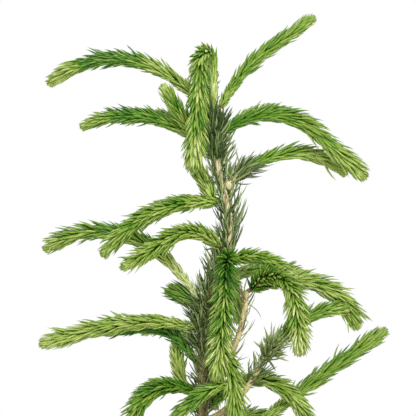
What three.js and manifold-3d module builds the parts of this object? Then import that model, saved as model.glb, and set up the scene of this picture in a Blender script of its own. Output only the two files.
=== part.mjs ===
// A young weeping spruce, about 0.62 m tall: a winding leader with last year's needles on it, a few
// older side branches, and soft new shoots that arch out of the stem and hang over.
// Millimetres, +Z up. The origin is the middle of the flat cut at ground level, +X is to the right and
// -Y is towards the viewer. A heading turns round +Z from +X and a slope is above the horizon, in degrees.
import * as THREE from "three";
import { mergeVertices } from "three/addons/utils/BufferGeometryUtils.js";
import Module from "manifold-3d";

const wasm = await Module();
wasm.setup();
const { degToRad, lerp, smoothstep } = THREE.MathUtils;

// Trunk: a straight foot with a root flare, then a bend to the right and back towards the tip
const GAP = 0.3; // clear space between neighbouring solids
const TRUNK_HEIGHT = 558;
const TRUNK_FOOT_RADIUS = 7;
const TRUNK_TIP_RADIUS = 2.6;
const FLARE_WIDTH = 7;
const FLARE_HEIGHT = 16;
const TRUNK_SIDES = 10;
const TRUNK_RINGS = 26;
const TRUNK_RING_CROWDING = 1.35; // above 1, rings lie closer together near the ground
const SEATING_ROUNDS = 5; // small moves that bring a limb's root up to the trunk
const FOOT_LENGTH = 12;
const TRUNK_BENDS = [
  { height: 0, x: 0, y: 0 },
  { height: 310, x: 0, y: 0 },
  { height: 405, x: 27, y: -3 },
  { height: 490, x: 13, y: 0 },
  { height: TRUNK_HEIGHT, x: 10, y: 0 },
];

// Side branches: bare tapering wood of earlier years
const BOUGH_ROOT_RADIUS = 3.5;
const BOUGH_TIP_RADIUS = 2.4;
const BOUGH_SIDES = 6;
const BOUGH_RING_SPACING = 14;
const LEAST_BOUGH_RINGS = 3;

// New shoots: a slim core on a thin stem, with rows of needles that stand out of it and point forward
const STEM_RADIUS = 1.2;
const LEAST_CORE_RADIUS = 1; // where a shoot is squeezed between others
const CORE_RADIUS = 4.2;
const CORE_SWELL_SHARE = 0.35; // of the length, from the bare stem to the full core
const CORE_TAPER = 0.45; // how much of the core is gone at the tip
const TIP_FROM_SHARE = 0.78; // of the length, where core and needles begin to close over the bud
const NEEDLE_LENGTH = 15;
const NEEDLE_FOOT_SHARE = 0.6; // of the full length, for the needles next to the bare stem
const LEAST_NEEDLE_LENGTH = 5;
const NEEDLE_LEAN = 25; // away from the shoot's own line
const NEEDLE_TIP_LEAN = 12; // the same at the shoot's tip, where needles close over the bud
const NEEDLES_PER_ROW = 5;
const ROW_SPACING = 11.5;
const LEAST_ROWS = 4;
const BARE_ROWS = 1; // rows of the stem without needles
const EASY_BEND = 0.25; // turn of the line along a needle, in radians, where needles inside it get shorter
const SHARP_BEND = 0.65; // the same where there is no room for them
const SIDEWAYS_BEND = 0.45; // how much of the turn counts for needles beside it
const STEPS_PER_ROW = 4; // fine steps along a shoot's line for each row
const ROOT_STEPS = 3; // fine steps that may come close to the limb that carries the shoot

// Last year's needles on the trunk: a thin sleeve with longer needles that stand further out
const SLEEVE_WALL = 1;
const SLEEVE_NEEDLES_PER_ROW = 7;
const SLEEVE_ROW_SPACING = 9;
const SLEEVE_NEEDLE_LENGTH = 15;
const SLEEVE_NEEDLE_LEAN = 38;
const SLEEVE_HOLE_RADIUS = 2.4; // room for a shoot's stem
const SLEEVE_HOLE_LENGTH = 16;
const SLEEVE_HOLE_SINK = 3.2; // how far the hole reaches back into the trunk
const SLEEVE_CLEARANCE = 2; // between the needle tips and the shoots that cross them

// Side branches in view: height on the trunk, heading, slope at the root and at the tip, and length
const BOUGHS = {
  right_short: { height: 451, heading: 3, rise: 48, dip: 36, length: 26 },
  right_tall: { height: 250, heading: -8, rise: 55, dip: 84, length: 103 },
  right_low: { height: 216, heading: -32, rise: 30, dip: 58, length: 84 },
  right_bottom: { height: 182, heading: -2, rise: 26, dip: 40, length: 56 },
};

// New shoots in view, from the top down. Each leaves the trunk at a height, or a bough at its tip, turns
// from its rise to its dip over a share of its length, may curl to one side, and may be slim or full.
const SHOOTS = {
  leader_hook: {
    height: 558,
    heading: 252,
    curl: -36,
    rise: 86,
    dip: -84,
    length: 158,
    turn: 0.38,
    girth: 1.1,
  },
  top_right_high: { height: 526, heading: 6, rise: 60, dip: 35, length: 136, turn: 0.7, girth: 0.85 },
  top_left_high: { height: 524, heading: 172, rise: 46, dip: -41, length: 187, turn: 1.17, girth: 0.95 },
  top_right_middle: { height: 502, heading: -10, rise: 31, dip: -42, length: 169, turn: 0.7, girth: 1.1 },
  top_left_short: { height: 482, heading: 200, rise: 44, dip: 58, length: 85, turn: 0.8, girth: 0.9 },
  top_left_low: { height: 486, heading: 180, rise: 36, dip: -30, length: 140, turn: 1.2, girth: 0.9 },
  top_right_low: {
    bough: "right_short",
    heading: 6,
    rise: 26,
    dip: -42,
    length: 106,
    turn: 1.1,
    girth: 0.95,
  },
  left_hook: { height: 386, heading: 215, rise: 38, dip: -27, length: 129, turn: 0.6 },
  front_high: {
    height: 376,
    heading: 281,
    curl: -80,
    rise: 20,
    dip: -82,
    length: 147,
    turn: 0.38,
    girth: 1.35,
  },
  right_upper: { height: 377, heading: -14, rise: 12, dip: -35, length: 74, turn: 0.8, girth: 0.9 },
  left_long_arch: { height: 333, heading: 172, rise: 55, dip: -47, length: 189, turn: 1.3, girth: 1.05 },
  left_short: { height: 331, heading: 150, rise: 25, dip: 10, length: 40, girth: 1.2 },
  left_long_low: { height: 309, heading: 199, rise: 9, dip: -14, length: 162, turn: 0.8, girth: 1.05 },
  left_under: { height: 272, heading: 172, rise: 58, dip: -8, length: 112, turn: 0.75, girth: 0.8 },
  left_riser: { height: 247, heading: 156, rise: 4, dip: 82, length: 60, turn: 0.5, girth: 0.8 },
  right_droop: { height: 229, heading: -12, rise: 48, dip: -54, length: 130, turn: 0.9 },
  right_straight: { bough: "right_bottom", heading: 4, rise: 37, dip: 34, length: 158 },
  right_bottom: { height: 206, heading: -40, rise: 20, dip: -50, length: 112, girth: 0.95 },
};

// Masses of more than one shoot in view: the side shoots fork off the first one at a share of its length
const FORKED_SHOOTS = {
  middle_left: {
    main: { height: 434, heading: 203, rise: 0, dip: -50, length: 142, turn: 1.1 },
    sides: [{ at: 0.06, heading: 150, rise: 62, dip: 54, length: 42, girth: 0.95 }],
  },
  front_low: {
    main: { height: 284, heading: 300, rise: 15, dip: -78, length: 122, turn: 0.6, girth: 1.1 },
    sides: [{ at: 0.55, heading: 196, rise: -20, dip: -42, length: 70, girth: 0.95 }],
  },
  left_low: {
    main: { height: 242, heading: 220, rise: 22, dip: -68, length: 116, girth: 1.15 },
    sides: [{ at: 0.12, heading: 186, rise: 20, dip: -52, length: 60, girth: 0.95 }],
  },
  right_arch: {
    main: { bough: "right_tall", heading: -3, rise: 20, dip: -83, length: 132, turn: 1.25 },
    sides: [{ at: 0.02, heading: -44, rise: 38, dip: -84, length: 125, turn: 0.73, girth: 1.2 }],
  },
  right_low: {
    main: { bough: "right_low", heading: 8, rise: 56, dip: -4, length: 108, turn: 1.2, girth: 0.9 },
    sides: [{ at: 0.06, heading: -52, rise: 46, dip: 40, length: 38, girth: 0.9 }],
  },
};

// Shoots on the far side, which follow the lines of those in front, and low ones of the same kind
const FAR_SHOOTS = {
  back_top: { height: 530, heading: 96, rise: 58, dip: -62, length: 150, turn: 0.8 },
  back_top_right: { height: 500, heading: 40, rise: 34, dip: -12, length: 118, turn: 0.95, girth: 0.85 },
  back_top_left: { height: 492, heading: 138, rise: 30, dip: -10, length: 132, turn: 1.1, girth: 0.85 },
  back_middle_left: { height: 434, heading: 136, rise: 3, dip: -30, length: 132, turn: 1.1, girth: 0.95 },
  back_middle_right: { height: 354, heading: 46, rise: 16, dip: -14, length: 132, girth: 0.95 },
  back_middle: { height: 338, heading: 74, rise: 44, dip: -54, length: 144, turn: 0.8 },
  back_low_left: { height: 294, heading: 118, rise: 14, dip: -6, length: 134, turn: 0.8 },
  back_low: { height: 262, heading: 84, rise: 30, dip: -58, length: 136, turn: 0.8 },
  back_low_right: { height: 208, heading: 38, rise: 16, dip: -34, length: 136, turn: 0.9 },
  low_left: { height: 186, heading: 168, rise: 22, dip: -40, length: 132 },
  low_front: { height: 196, heading: 262, rise: 20, dip: -62, length: 118 },
  low_back: { height: 188, heading: 102, rise: 24, dip: -54, length: 124 },
};

// The lowest whorls: each bough sags a little and ends in a hanging shoot with two side shoots
const LOW_WHORLS = {
  upper: { height: 160, boughs: 4, firstHeading: 38, boughLength: 84 },
  lower: { height: 92, boughs: 4, firstHeading: 82, boughLength: 76 },
};
const LOW_BOUGH = { rise: 24, dip: -6 };
const LOW_MAIN = { dip: -56, length: 118 };
const LOW_SIDE = { at: 0.05, splay: 46, rise: 12, dip: -48, length: 84 };
const LOW_SPREAD = { height: 7, heading: 12, slope: 7, length: 0.12 }; // seeded unevenness
const SEED = 1907;
const RANDOM_FACTOR = 48271;
const RANDOM_LIMIT = 2147483647;

// Stretches of the trunk that keep last year's needles
const SLEEVES = {
  leader: { from: 470, to: 518 },
  upper: { from: 412, to: 464 },
  middle: { from: 318, to: 386 },
  lower: { from: 232, to: 300 },
};

// Finishes
const BARK = new THREE.MeshStandardMaterial({ color: 0x9a8a62, roughness: 0.9, metalness: 0 });
const NEW_GREEN = new THREE.MeshStandardMaterial({ color: 0x76973f, roughness: 0.55, metalness: 0 });
const OLD_GREEN = new THREE.MeshStandardMaterial({ color: 0x5b6842, roughness: 0.6, metalness: 0 });

// A repeatable run of numbers from 0 to 1
function seededRun(seed) {
  let state = seed;
  return () => {
    state = (state * RANDOM_FACTOR) % RANDOM_LIMIT;
    return state / RANDOM_LIMIT;
  };
}

function direction(heading, slope) {
  const turn = degToRad(heading);
  const lift = degToRad(slope);
  return new THREE.Vector3(
    Math.cos(turn) * Math.cos(lift),
    Math.sin(turn) * Math.cos(lift),
    Math.sin(lift),
  );
}

function trunkCentre(height) {
  const above = Math.max(1, TRUNK_BENDS.findIndex((bend) => bend.height >= height));
  const [low, high] = [TRUNK_BENDS[above - 1], TRUNK_BENDS[above]];
  const share = smoothstep(height, low.height, high.height);
  return new THREE.Vector3(lerp(low.x, high.x, share), lerp(low.y, high.y, share), height);
}

function trunkRadius(height) {
  const taper = lerp(TRUNK_FOOT_RADIUS, TRUNK_TIP_RADIUS, height / TRUNK_HEIGHT);
  return taper + FLARE_WIDTH * Math.exp(-height / FLARE_HEIGHT);
}

// The trunk is turned as one profile and then bent along its centre line
function trunkGeometry(extra = 0) {
  const profile = [new THREE.Vector2(0, 0)];
  for (let ring = 0; ring <= TRUNK_RINGS; ring++) {
    const height = TRUNK_HEIGHT * (ring / TRUNK_RINGS) ** TRUNK_RING_CROWDING;
    profile.push(new THREE.Vector2(trunkRadius(height) + extra, height));
  }
  profile.push(new THREE.Vector2(0, TRUNK_HEIGHT));
  const geometry = new THREE.LatheGeometry(profile, TRUNK_SIDES).rotateX(Math.PI / 2);
  const place = geometry.attributes.position;
  for (let i = 0; i < place.count; i++) {
    const centre = trunkCentre(Math.min(TRUNK_HEIGHT, Math.max(0, place.getZ(i))));
    place.setXY(i, place.getX(i) + centre.x, place.getY(i) + centre.y);
  }
  return positionsOnly(geometry);
}

function positionsOnly(geometry) {
  geometry.deleteAttribute("normal");
  geometry.deleteAttribute("uv");
  return mergeVertices(geometry);
}

// The line of a limb: it leaves its root at one slope and turns smoothly to another
function growLine({ root, heading, curl = 0, rise, dip, length, turn = 1 }, count) {
  const step = length / count;
  const line = [];
  const point = root.clone();
  for (let i = 0; i <= count; i++) {
    const slope = lerp(rise, dip, smoothstep(i / count, 0, turn));
    const tangent = direction(heading + curl * (i / count), slope);
    const side = direction(heading + 90 + curl * (i / count), 0);
    const up = new THREE.Vector3().crossVectors(tangent, side);
    line.push({ point: point.clone(), tangent, side, up });
    point.addScaledVector(tangent, step);
  }
  return line;
}

// One ring of points across a limb's line. Every second ring is turned half a step, so that the
// surface between rings is made of diamonds.
function ringPoints(place, radius, sides, ring) {
  const points = [];
  for (let j = 0; j < sides; j++) {
    const out = outward(place, sides, ring, j);
    points.push(out.multiplyScalar(radius).add(place.point));
  }
  return points;
}

function outward(place, sides, ring, j) {
  const angle = ((j + ring / 2) * 2 * Math.PI) / sides;
  return place.side
    .clone()
    .multiplyScalar(Math.cos(angle))
    .addScaledVector(place.up, Math.sin(angle));
}

// A closed skin over rings of points. needleTip(ring, j) gives the tip of the needle on a diamond, or null.
function skin(rings, rootPoint, tipPoint, needleTip) {
  const sides = rings[0].length;
  const vertices = [rootPoint, tipPoint, ...rings.flat()];
  const triangles = [];
  const wrap = (j) => (j + sides) % sides;
  const at = (ring, j) => (ring < rings.length ? 2 + ring * sides + wrap(j) : 1);
  for (let j = 0; j < sides; j++) {
    triangles.push(0, at(0, j + 1), at(0, j));
    triangles.push(at(0, j), at(0, j + 1), at(1, j));
  }
  for (let ring = 0; ring < rings.length - 1; ring++) {
    for (let j = 0; j < sides; j++) {
      const diamond = [at(ring, j), at(ring + 1, j), at(ring + 2, j - 1), at(ring + 1, j - 1)];
      addDiamond(diamond, needleTip(ring, j), vertices, triangles);
    }
  }
  return fromTriangles(vertices, triangles);
}

function addDiamond([bottom, right, top, left], tip, vertices, triangles) {
  if (!tip) {
    triangles.push(bottom, right, left, right, top, left);
    return;
  }
  const peak = vertices.push(tip) - 1;
  triangles.push(bottom, right, peak, right, top, peak, top, left, peak, left, bottom, peak);
}

function fromTriangles(vertices, triangles) {
  const geometry = new THREE.BufferGeometry().setFromPoints(vertices);
  return geometry.setIndex(triangles);
}

// The root of a limb on the trunk: it comes in along its heading, or from above, until it is just clear
function rootOnTrunk(plan, radius, sides, trunk) {
  const onTip = plan.height >= TRUNK_HEIGHT;
  const outwards = direction(plan.heading, onTip ? 90 : 0);
  const start = onTip ? radius : trunkRadius(plan.height) + 2 * radius;
  const root = trunkCentre(plan.height).addScaledVector(outwards, start);
  for (let round = 0; round < SEATING_ROUNDS; round++) {
    const line = growLine({ ...plan, root, dip: plan.rise, length: FOOT_LENGTH }, 1);
    const rings = line.map((place, i) => ringPoints(place, radius, sides, i));
    const foot = toSolid(skin(rings, line[0].point, line[1].point, () => null));
    root.addScaledVector(outwards, GAP - trunk.minGap(foot, FOOT_LENGTH));
  }
  return root;
}

// Side branches
function growBough(plan, trunk) {
  const rings = Math.max(LEAST_BOUGH_RINGS, Math.round(plan.length / BOUGH_RING_SPACING));
  const root = rootOnTrunk(plan, BOUGH_ROOT_RADIUS, BOUGH_SIDES, trunk);
  const line = growLine({ ...plan, root }, rings);
  const radii = line.map((_, i) => lerp(BOUGH_ROOT_RADIUS, BOUGH_TIP_RADIUS, i / rings));
  return { ...plan, line, radii };
}

function boughGeometry({ line, radii }) {
  const rings = line.map((place, i) => ringPoints(place, radii[i], BOUGH_SIDES, i));
  return skin(rings, line[0].point, line.at(-1).point, () => null);
}

// New shoots
function growShoot(plan) {
  const rows = Math.max(LEAST_ROWS, Math.round(plan.length / ROW_SPACING));
  const line = growLine(plan, rows * STEPS_PER_ROW);
  const last = line.at(-1);
  const beyond = last.point.clone().addScaledVector(last.tangent, NEEDLE_LENGTH / 2);
  return { girth: 1, ...plan, rows, line, reach: [...line.map((place) => place.point), beyond] };
}

function shootRoot(plan, boughs, trunk) {
  if (!plan.bough) return rootOnTrunk(plan, STEM_RADIUS, NEEDLES_PER_ROW, trunk);
  const tip = boughs.find((bough) => bough.name === plan.bough).line.at(-1);
  const lean = STEM_RADIUS * Math.sin(tip.tangent.angleTo(direction(plan.heading, plan.rise)));
  return tip.point.clone().addScaledVector(tip.tangent, GAP + lean);
}

function coreRadius(shoot, share) {
  const swell = lerp(STEM_RADIUS, CORE_RADIUS * shoot.girth, smoothstep(share, 0, CORE_SWELL_SHARE));
  return swell * (1 - CORE_TAPER * smoothstep(share, TIP_FROM_SHARE, 1));
}

function needleLength(shoot, share) {
  const swell = lerp(NEEDLE_FOOT_SHARE, 1, smoothstep(share, 0, CORE_SWELL_SHARE));
  return NEEDLE_LENGTH * shoot.girth * swell;
}

function needleLean(share) {
  return degToRad(lerp(NEEDLE_LEAN, NEEDLE_TIP_LEAN, smoothstep(share, TIP_FROM_SHARE, 1)));
}

// How far a shoot may spread at each fine step: half-way to its neighbours and clear of the limbs
function roomAlong(shoot, neighbours, boughs) {
  return shoot.reach.map((point, i) => {
    let room = Infinity;
    for (const other of neighbours) {
      for (const place of other.reach) room = Math.min(room, (point.distanceTo(place) - 2 * GAP) / 2);
    }
    for (const bough of boughs) {
      if (bough.name === shoot.bough) continue;
      bough.line.forEach((place, k) => {
        room = Math.min(room, point.distanceTo(place.point) - bough.radii[k] - 2 * GAP);
      });
    }
    if (i > ROOT_STEPS) room = Math.min(room, roomToTrunk(point));
    return room;
  });
}

function roomToTrunk(point) {
  if (point.z > TRUNK_HEIGHT) return Infinity;
  const centre = trunkCentre(point.z);
  const away = Math.hypot(point.x - centre.x, point.y - centre.y);
  return away - trunkRadius(point.z) - SLEEVE_WALL - 3 * GAP;
}

function shootGeometry(shoot) {
  const needleSteps = Math.ceil((NEEDLE_LENGTH / ROW_SPACING) * STEPS_PER_ROW);
  const fit = (step, wanted) => {
    const near = shoot.room.slice(step, step + needleSteps + 1);
    return Math.min(1, Math.max(0, Math.min(...near)) / wanted);
  };
  const radii = [];
  const reach = [];
  for (let row = 0; row < shoot.rows; row++) {
    const share = row / shoot.rows;
    const core = coreRadius(shoot, share);
    const length = needleLength(shoot, share);
    const size = fit(row * STEPS_PER_ROW, core + length * Math.sin(needleLean(share)));
    radii.push(Math.max(LEAST_CORE_RADIUS, core * size));
    reach.push(length * size);
  }
  const rings = radii.map((radius, row) =>
    ringPoints(shoot.line[row * STEPS_PER_ROW], radius, NEEDLES_PER_ROW, row),
  );
  const needleTip = (row, j) => {
    const place = shoot.line[(row + 1) * STEPS_PER_ROW];
    const ahead = shoot.line[(row + 1) * STEPS_PER_ROW + needleSteps] ?? shoot.line.at(-1);
    const out = outward(place, NEEDLES_PER_ROW, row, j);
    const turned = ahead.tangent.clone().sub(place.tangent);
    const bend = turned.dot(out) + SIDEWAYS_BEND * turned.length();
    const length = reach[row + 1] * (1 - smoothstep(bend, EASY_BEND, SHARP_BEND));
    if (row < BARE_ROWS || length < LEAST_NEEDLE_LENGTH) return null;
    const lean = needleLean((row + 1) / shoot.rows);
    const foot = radii[row + 1] * Math.cos(Math.PI / NEEDLES_PER_ROW);
    return place.point
      .clone()
      .addScaledVector(out, foot + length * Math.sin(lean))
      .addScaledVector(place.tangent, length * Math.cos(lean));
  };
  return skin(rings, shoot.line[0].point, shoot.line.at(-1).point, needleTip);
}

function toSolid(geometry) {
  const mesh = { numProp: 3, vertProperties: geometry.attributes.position.array };
  return new wasm.Manifold(new wasm.Mesh({ ...mesh, triVerts: new Uint32Array(geometry.index.array) }));
}

// The largest piece of a solid, as a geometry
function toGeometry(solid) {
  const pieces = solid.decompose().sort((a, b) => b.volume() - a.volume());
  const { vertProperties, triVerts } = pieces[0].getMesh();
  return new THREE.BufferGeometry()
    .setAttribute("position", new THREE.BufferAttribute(vertProperties, 3))
    .setIndex(new THREE.BufferAttribute(triVerts, 1));
}

// A mass is one shoot, or one shoot with side shoots that start on its line and are fused to it
function growMass(name, { main, sides = [] }, boughs, trunk) {
  const stem = growShoot({ ...main, root: shootRoot(main, boughs, trunk) });
  const forks = sides.map((side) => {
    const start = Math.round(side.at * (stem.line.length - 1));
    return growShoot({ ...side, bough: main.bough, root: stem.line[start].point.clone() });
  });
  return { name, shoots: [stem, ...forks] };
}

function massGeometry({ shoots }) {
  const geometries = shoots.map(shootGeometry);
  if (geometries.length === 1) return geometries[0];
  return toGeometry(geometries.map(toSolid).reduce((whole, side) => whole.add(side)));
}

// The lowest whorls, uneven by a seeded rule
function planLowWhorls() {
  const random = seededRun(SEED);
  const spread = (size) => size * (2 * random() - 1);
  const uneven = (heading, rise, { dip, length }) => ({
    heading: heading + spread(LOW_SPREAD.heading),
    rise: rise + spread(LOW_SPREAD.slope),
    dip: dip + spread(LOW_SPREAD.slope),
    length: length * (1 + spread(LOW_SPREAD.length)),
  });
  const boughs = {};
  const masses = {};
  for (const [level, whorl] of Object.entries(LOW_WHORLS)) {
    for (let i = 0; i < whorl.boughs; i++) {
      const name = `${level}_whorl_${i + 1}`;
      const firstHeading = whorl.firstHeading + (360 / whorl.boughs) * i;
      const limb = uneven(firstHeading, LOW_BOUGH.rise, { ...LOW_BOUGH, length: whorl.boughLength });
      const main = uneven(limb.heading, limb.dip, LOW_MAIN);
      const sides = [-1, 1].map((hand) => ({
        at: LOW_SIDE.at * (2 + hand),
        ...uneven(limb.heading + hand * LOW_SIDE.splay, LOW_SIDE.rise, LOW_SIDE),
      }));
      boughs[name] = { ...limb, height: whorl.height + spread(LOW_SPREAD.height) };
      masses[name] = { main: { ...main, bough: name }, sides };
    }
  }
  return { boughs, masses };
}

// Last year's needles: a sleeve round the trunk, open where a limb leaves it
function sleeveGeometry({ from, to }, limbs, shoots) {
  const sides = SLEEVE_NEEDLES_PER_ROW;
  const rows = Math.round((to - from) / SLEEVE_ROW_SPACING);
  const places = [];
  for (let row = 0; row <= rows; row++) {
    const point = trunkCentre(lerp(from, to, row / rows));
    places.push({ point, side: new THREE.Vector3(1, 0, 0), up: new THREE.Vector3(0, 1, 0) });
  }
  const radius = (row) => {
    const inside = trunkRadius(places[row].point.z) + GAP;
    return inside / Math.cos(Math.PI / sides) + SLEEVE_WALL;
  };
  const rings = places.map((place, row) => ringPoints(place, radius(row), sides, row));
  const lean = degToRad(SLEEVE_NEEDLE_LEAN);
  const needleTip = (row, j) => {
    const place = places[row + 1];
    const out = outward(place, sides, row, j);
    const foot = place.point.clone().addScaledVector(out, radius(row));
    const tip = foot.clone().addScaledVector(out, SLEEVE_NEEDLE_LENGTH * Math.sin(lean));
    tip.z += SLEEVE_NEEDLE_LENGTH * Math.cos(lean);
    const middle = foot.clone().add(tip).divideScalar(2);
    return isFree(tip, shoots) && isFree(middle, shoots) ? tip : null;
  };
  const whole = toSolid(skin(rings, places[0].point, places.at(-1).point, needleTip));
  const bore = toSolid(trunkGeometry(GAP / Math.cos(Math.PI / TRUNK_SIDES)));
  return toGeometry([bore, ...limbs.map(rootHole)].reduce((solid, hole) => solid.subtract(hole), whole));
}

function isFree(point, shoots) {
  return shoots.every((shoot) =>
    shoot.reach.every((place, i) => {
      const share = i / shoot.reach.length;
      const full = coreRadius(shoot, share) + needleLength(shoot, share) * Math.sin(needleLean(share));
      const spread = Math.min(full, Math.max(shoot.room[i], STEM_RADIUS));
      return point.distanceTo(place) > spread + SLEEVE_CLEARANCE;
    }),
  );
}

// Room in a sleeve for the foot of a limb
function rootHole({ line, radius }) {
  const { point, tangent } = line[0];
  const across = radius / Math.cos(Math.PI / BOUGH_SIDES);
  const geometry = new THREE.CylinderGeometry(across, across, SLEEVE_HOLE_LENGTH, BOUGH_SIDES);
  const turn = new THREE.Quaternion().setFromUnitVectors(new THREE.Vector3(0, 1, 0), tangent);
  const middle = point.clone().addScaledVector(tangent, SLEEVE_HOLE_LENGTH / 2 - SLEEVE_HOLE_SINK);
  return toSolid(positionsOnly(geometry.applyQuaternion(turn).translate(...middle)));
}

// The whole tree
const trunk = toSolid(trunkGeometry());
const low = planLowWhorls();
const boughPlans = { ...BOUGHS, ...low.boughs };
const boughs = Object.entries(boughPlans).map(([name, plan]) => growBough({ name, ...plan }, trunk));

const single = ([name, main]) => growMass(`shoot_${name}`, { main }, boughs, trunk);
const forked = ([name, plan]) => growMass(`shoots_${name}`, plan, boughs, trunk);
const masses = [
  ...Object.entries({ ...SHOOTS, ...FAR_SHOOTS }).map(single),
  ...Object.entries({ ...FORKED_SHOOTS, ...low.masses }).map(forked),
];
for (const mass of masses) {
  const others = masses.filter((other) => other !== mass).flatMap((other) => other.shoots);
  for (const shoot of mass.shoots) shoot.room = roomAlong(shoot, others, boughs);
}

const feet = [
  ...boughs.map(({ line }) => ({ line, radius: BOUGH_ROOT_RADIUS + 2 * GAP })),
  ...masses.map(({ shoots }) => ({ line: shoots[0].line, radius: SLEEVE_HOLE_RADIUS })),
];
const shoots = masses.flatMap((mass) => mass.shoots);

const tree = new THREE.Group();
function addPiece(name, geometry, material) {
  const mesh = new THREE.Mesh(geometry, material);
  mesh.name = name;
  tree.add(mesh);
}
addPiece("trunk", trunkGeometry(), BARK);
for (const bough of boughs) addPiece(`bough_${bough.name}`, boughGeometry(bough), BARK);
for (const mass of masses) addPiece(mass.name, massGeometry(mass), NEW_GREEN);
for (const [name, stretch] of Object.entries(SLEEVES)) {
  addPiece(`old_needles_${name}`, sleeveGeometry(stretch, feet, shoots), OLD_GREEN);
}

export default tree;
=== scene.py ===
import math

import bmesh
import bpy
import numpy as np
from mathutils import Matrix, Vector, noise


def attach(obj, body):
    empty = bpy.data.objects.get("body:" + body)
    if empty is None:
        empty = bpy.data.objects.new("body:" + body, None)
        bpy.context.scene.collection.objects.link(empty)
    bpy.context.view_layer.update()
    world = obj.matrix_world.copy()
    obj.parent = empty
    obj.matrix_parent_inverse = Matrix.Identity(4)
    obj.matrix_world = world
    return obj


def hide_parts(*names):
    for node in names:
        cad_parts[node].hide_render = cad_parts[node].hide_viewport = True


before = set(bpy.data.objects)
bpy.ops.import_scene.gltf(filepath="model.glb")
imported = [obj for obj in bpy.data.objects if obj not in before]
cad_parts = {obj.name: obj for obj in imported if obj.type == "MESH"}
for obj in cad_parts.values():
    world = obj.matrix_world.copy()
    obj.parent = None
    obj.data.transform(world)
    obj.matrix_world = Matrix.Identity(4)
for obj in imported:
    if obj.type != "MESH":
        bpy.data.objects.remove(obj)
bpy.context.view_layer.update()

# Trunk
# The stem of a young spruce: thin tan bark with fine lengthwise furrows, paler towards the leader. It grows
# out of a short root flare that is cut flat at the ground, stands straight, then winds right and back.
MM = 0.001
GAP = 0.3
TRUNK_HEIGHT = 558
TRUNK_FOOT_RADIUS = 7
TRUNK_TIP_RADIUS = 2.6
FLARE_WIDTH = 7
FLARE_HEIGHT = 16
FLARE_LOBES = 5
FLARE_LOBE_DEPTH = 1.1
FLARE_LOBE_TURN = 0.8
TRUNK_SIDES = 36
TRUNK_STEP = 2
FURROW_WIDTH = 1.8
FURROW_LENGTH = 14
FURROW_DEPTH = 0.28
FLAKE_WIDTH = 0.8
FLAKE_LENGTH = 2.4
FLAKE_DEPTH = 0.12

# The height of each bend of the trunk, with how far its middle stands to the right and to the back there
TRUNK_BENDS = [(0, 0, 0), (310, 0, 0), (405, 27, -3), (490, 13, 0), (TRUNK_HEIGHT, 10, 0)]


def lerp(start, end, share):
    return start + (end - start) * share


def smoothstep(value, low, high):
    share = np.clip((np.asarray(value, float) - low) / (high - low), 0, 1)
    return share * share * (3 - 2 * share)


def trunk_centre(height):
    """The middle of the trunk at a height."""
    height = np.asarray(height, float)
    x = np.zeros_like(height)
    y = np.zeros_like(height)
    for low, high in zip(TRUNK_BENDS, TRUNK_BENDS[1:]):
        share = smoothstep(height, low[0], high[0])
        x = x + (high[1] - low[1]) * share
        y = y + (high[2] - low[2]) * share
    return np.stack([x, y, height], -1)


def trunk_radius(height):
    taper = lerp(TRUNK_FOOT_RADIUS, TRUNK_TIP_RADIUS, np.clip(height, 0, TRUNK_HEIGHT) / TRUNK_HEIGHT)
    return taper + FLARE_WIDTH * np.exp(-np.asarray(height, float) / FLARE_HEIGHT)


def bark_relief(angle, distance, radius):
    """How far the bark stands out at a place on a limb: long furrows with small flakes on them."""
    x = radius * math.cos(angle)
    y = radius * math.sin(angle)
    furrow = noise.noise(Vector((x / FURROW_WIDTH, y / FURROW_WIDTH, distance / FURROW_LENGTH)))
    flake = noise.noise(Vector((x / FLAKE_WIDTH, y / FLAKE_WIDTH, distance / FLAKE_LENGTH)))
    return FURROW_DEPTH * furrow + FLAKE_DEPTH * flake


def lengthwise_edges(bm):
    """The edges that run from end to end of a plain shape of height one."""
    return [edge for edge in bm.edges if abs(edge.verts[0].co.z - edge.verts[1].co.z) > 0.5]


def add_limb(bm, line, radii, sides, relief):
    """A straight closed tube with a ring for each place on a limb's line, bent onto that line."""
    steps = len(radii) - 1
    limb = bmesh.new()
    bmesh.ops.create_cone(limb, cap_ends=True, segments=sides, radius1=1, radius2=1, depth=1)
    bmesh.ops.subdivide_edges(limb, edges=lengthwise_edges(limb), cuts=steps - 1, use_grid_fill=True)
    spacing = np.linalg.norm(np.diff(line["point"], axis=0), axis=1)
    distance = np.concatenate([[0], np.cumsum(spacing)])
    for vert in limb.verts:
        i = round((vert.co.z + 0.5) * steps)
        angle = math.atan2(vert.co.y, vert.co.x)
        reach = radii[i] + relief(angle, distance[i], radii[i])
        across = line["side"][i] * math.cos(angle) + line["up"][i] * math.sin(angle)
        vert.co = Vector(line["point"][i] + across * reach)
    mesh = bpy.data.meshes.new("limb")
    limb.to_mesh(mesh)
    limb.free()
    bm.from_mesh(mesh)
    bpy.data.meshes.remove(mesh)


def add_object(name, mesh, material, nodes=()):
    """A smooth piece on the one body, in place of some nodes of the solid part."""
    mesh.materials.append(material)
    mesh.polygons.foreach_set("use_smooth", np.ones(len(mesh.polygons), bool))
    piece = bpy.data.objects.new(name, mesh)
    bpy.context.scene.collection.objects.link(piece)
    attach(piece, "root")
    if nodes:
        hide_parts(*nodes)


def add_bmesh_piece(name, bm, material, nodes=()):
    bmesh.ops.recalc_face_normals(bm, faces=bm.faces)
    bmesh.ops.scale(bm, vec=Vector((MM, MM, MM)), verts=bm.verts)
    mesh = bpy.data.meshes.new(name)
    bm.to_mesh(mesh)
    bm.free()
    add_object(name, mesh, material, nodes)


def linear(code):
    """A colour given as an sRGB hex value, in linear light."""
    channels = [int(code[i:i + 2], 16) / 255 for i in (1, 3, 5)]
    return (*[c / 12.92 if c <= 0.04045 else ((c + 0.055) / 1.055) ** 2.4 for c in channels], 1)


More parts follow.
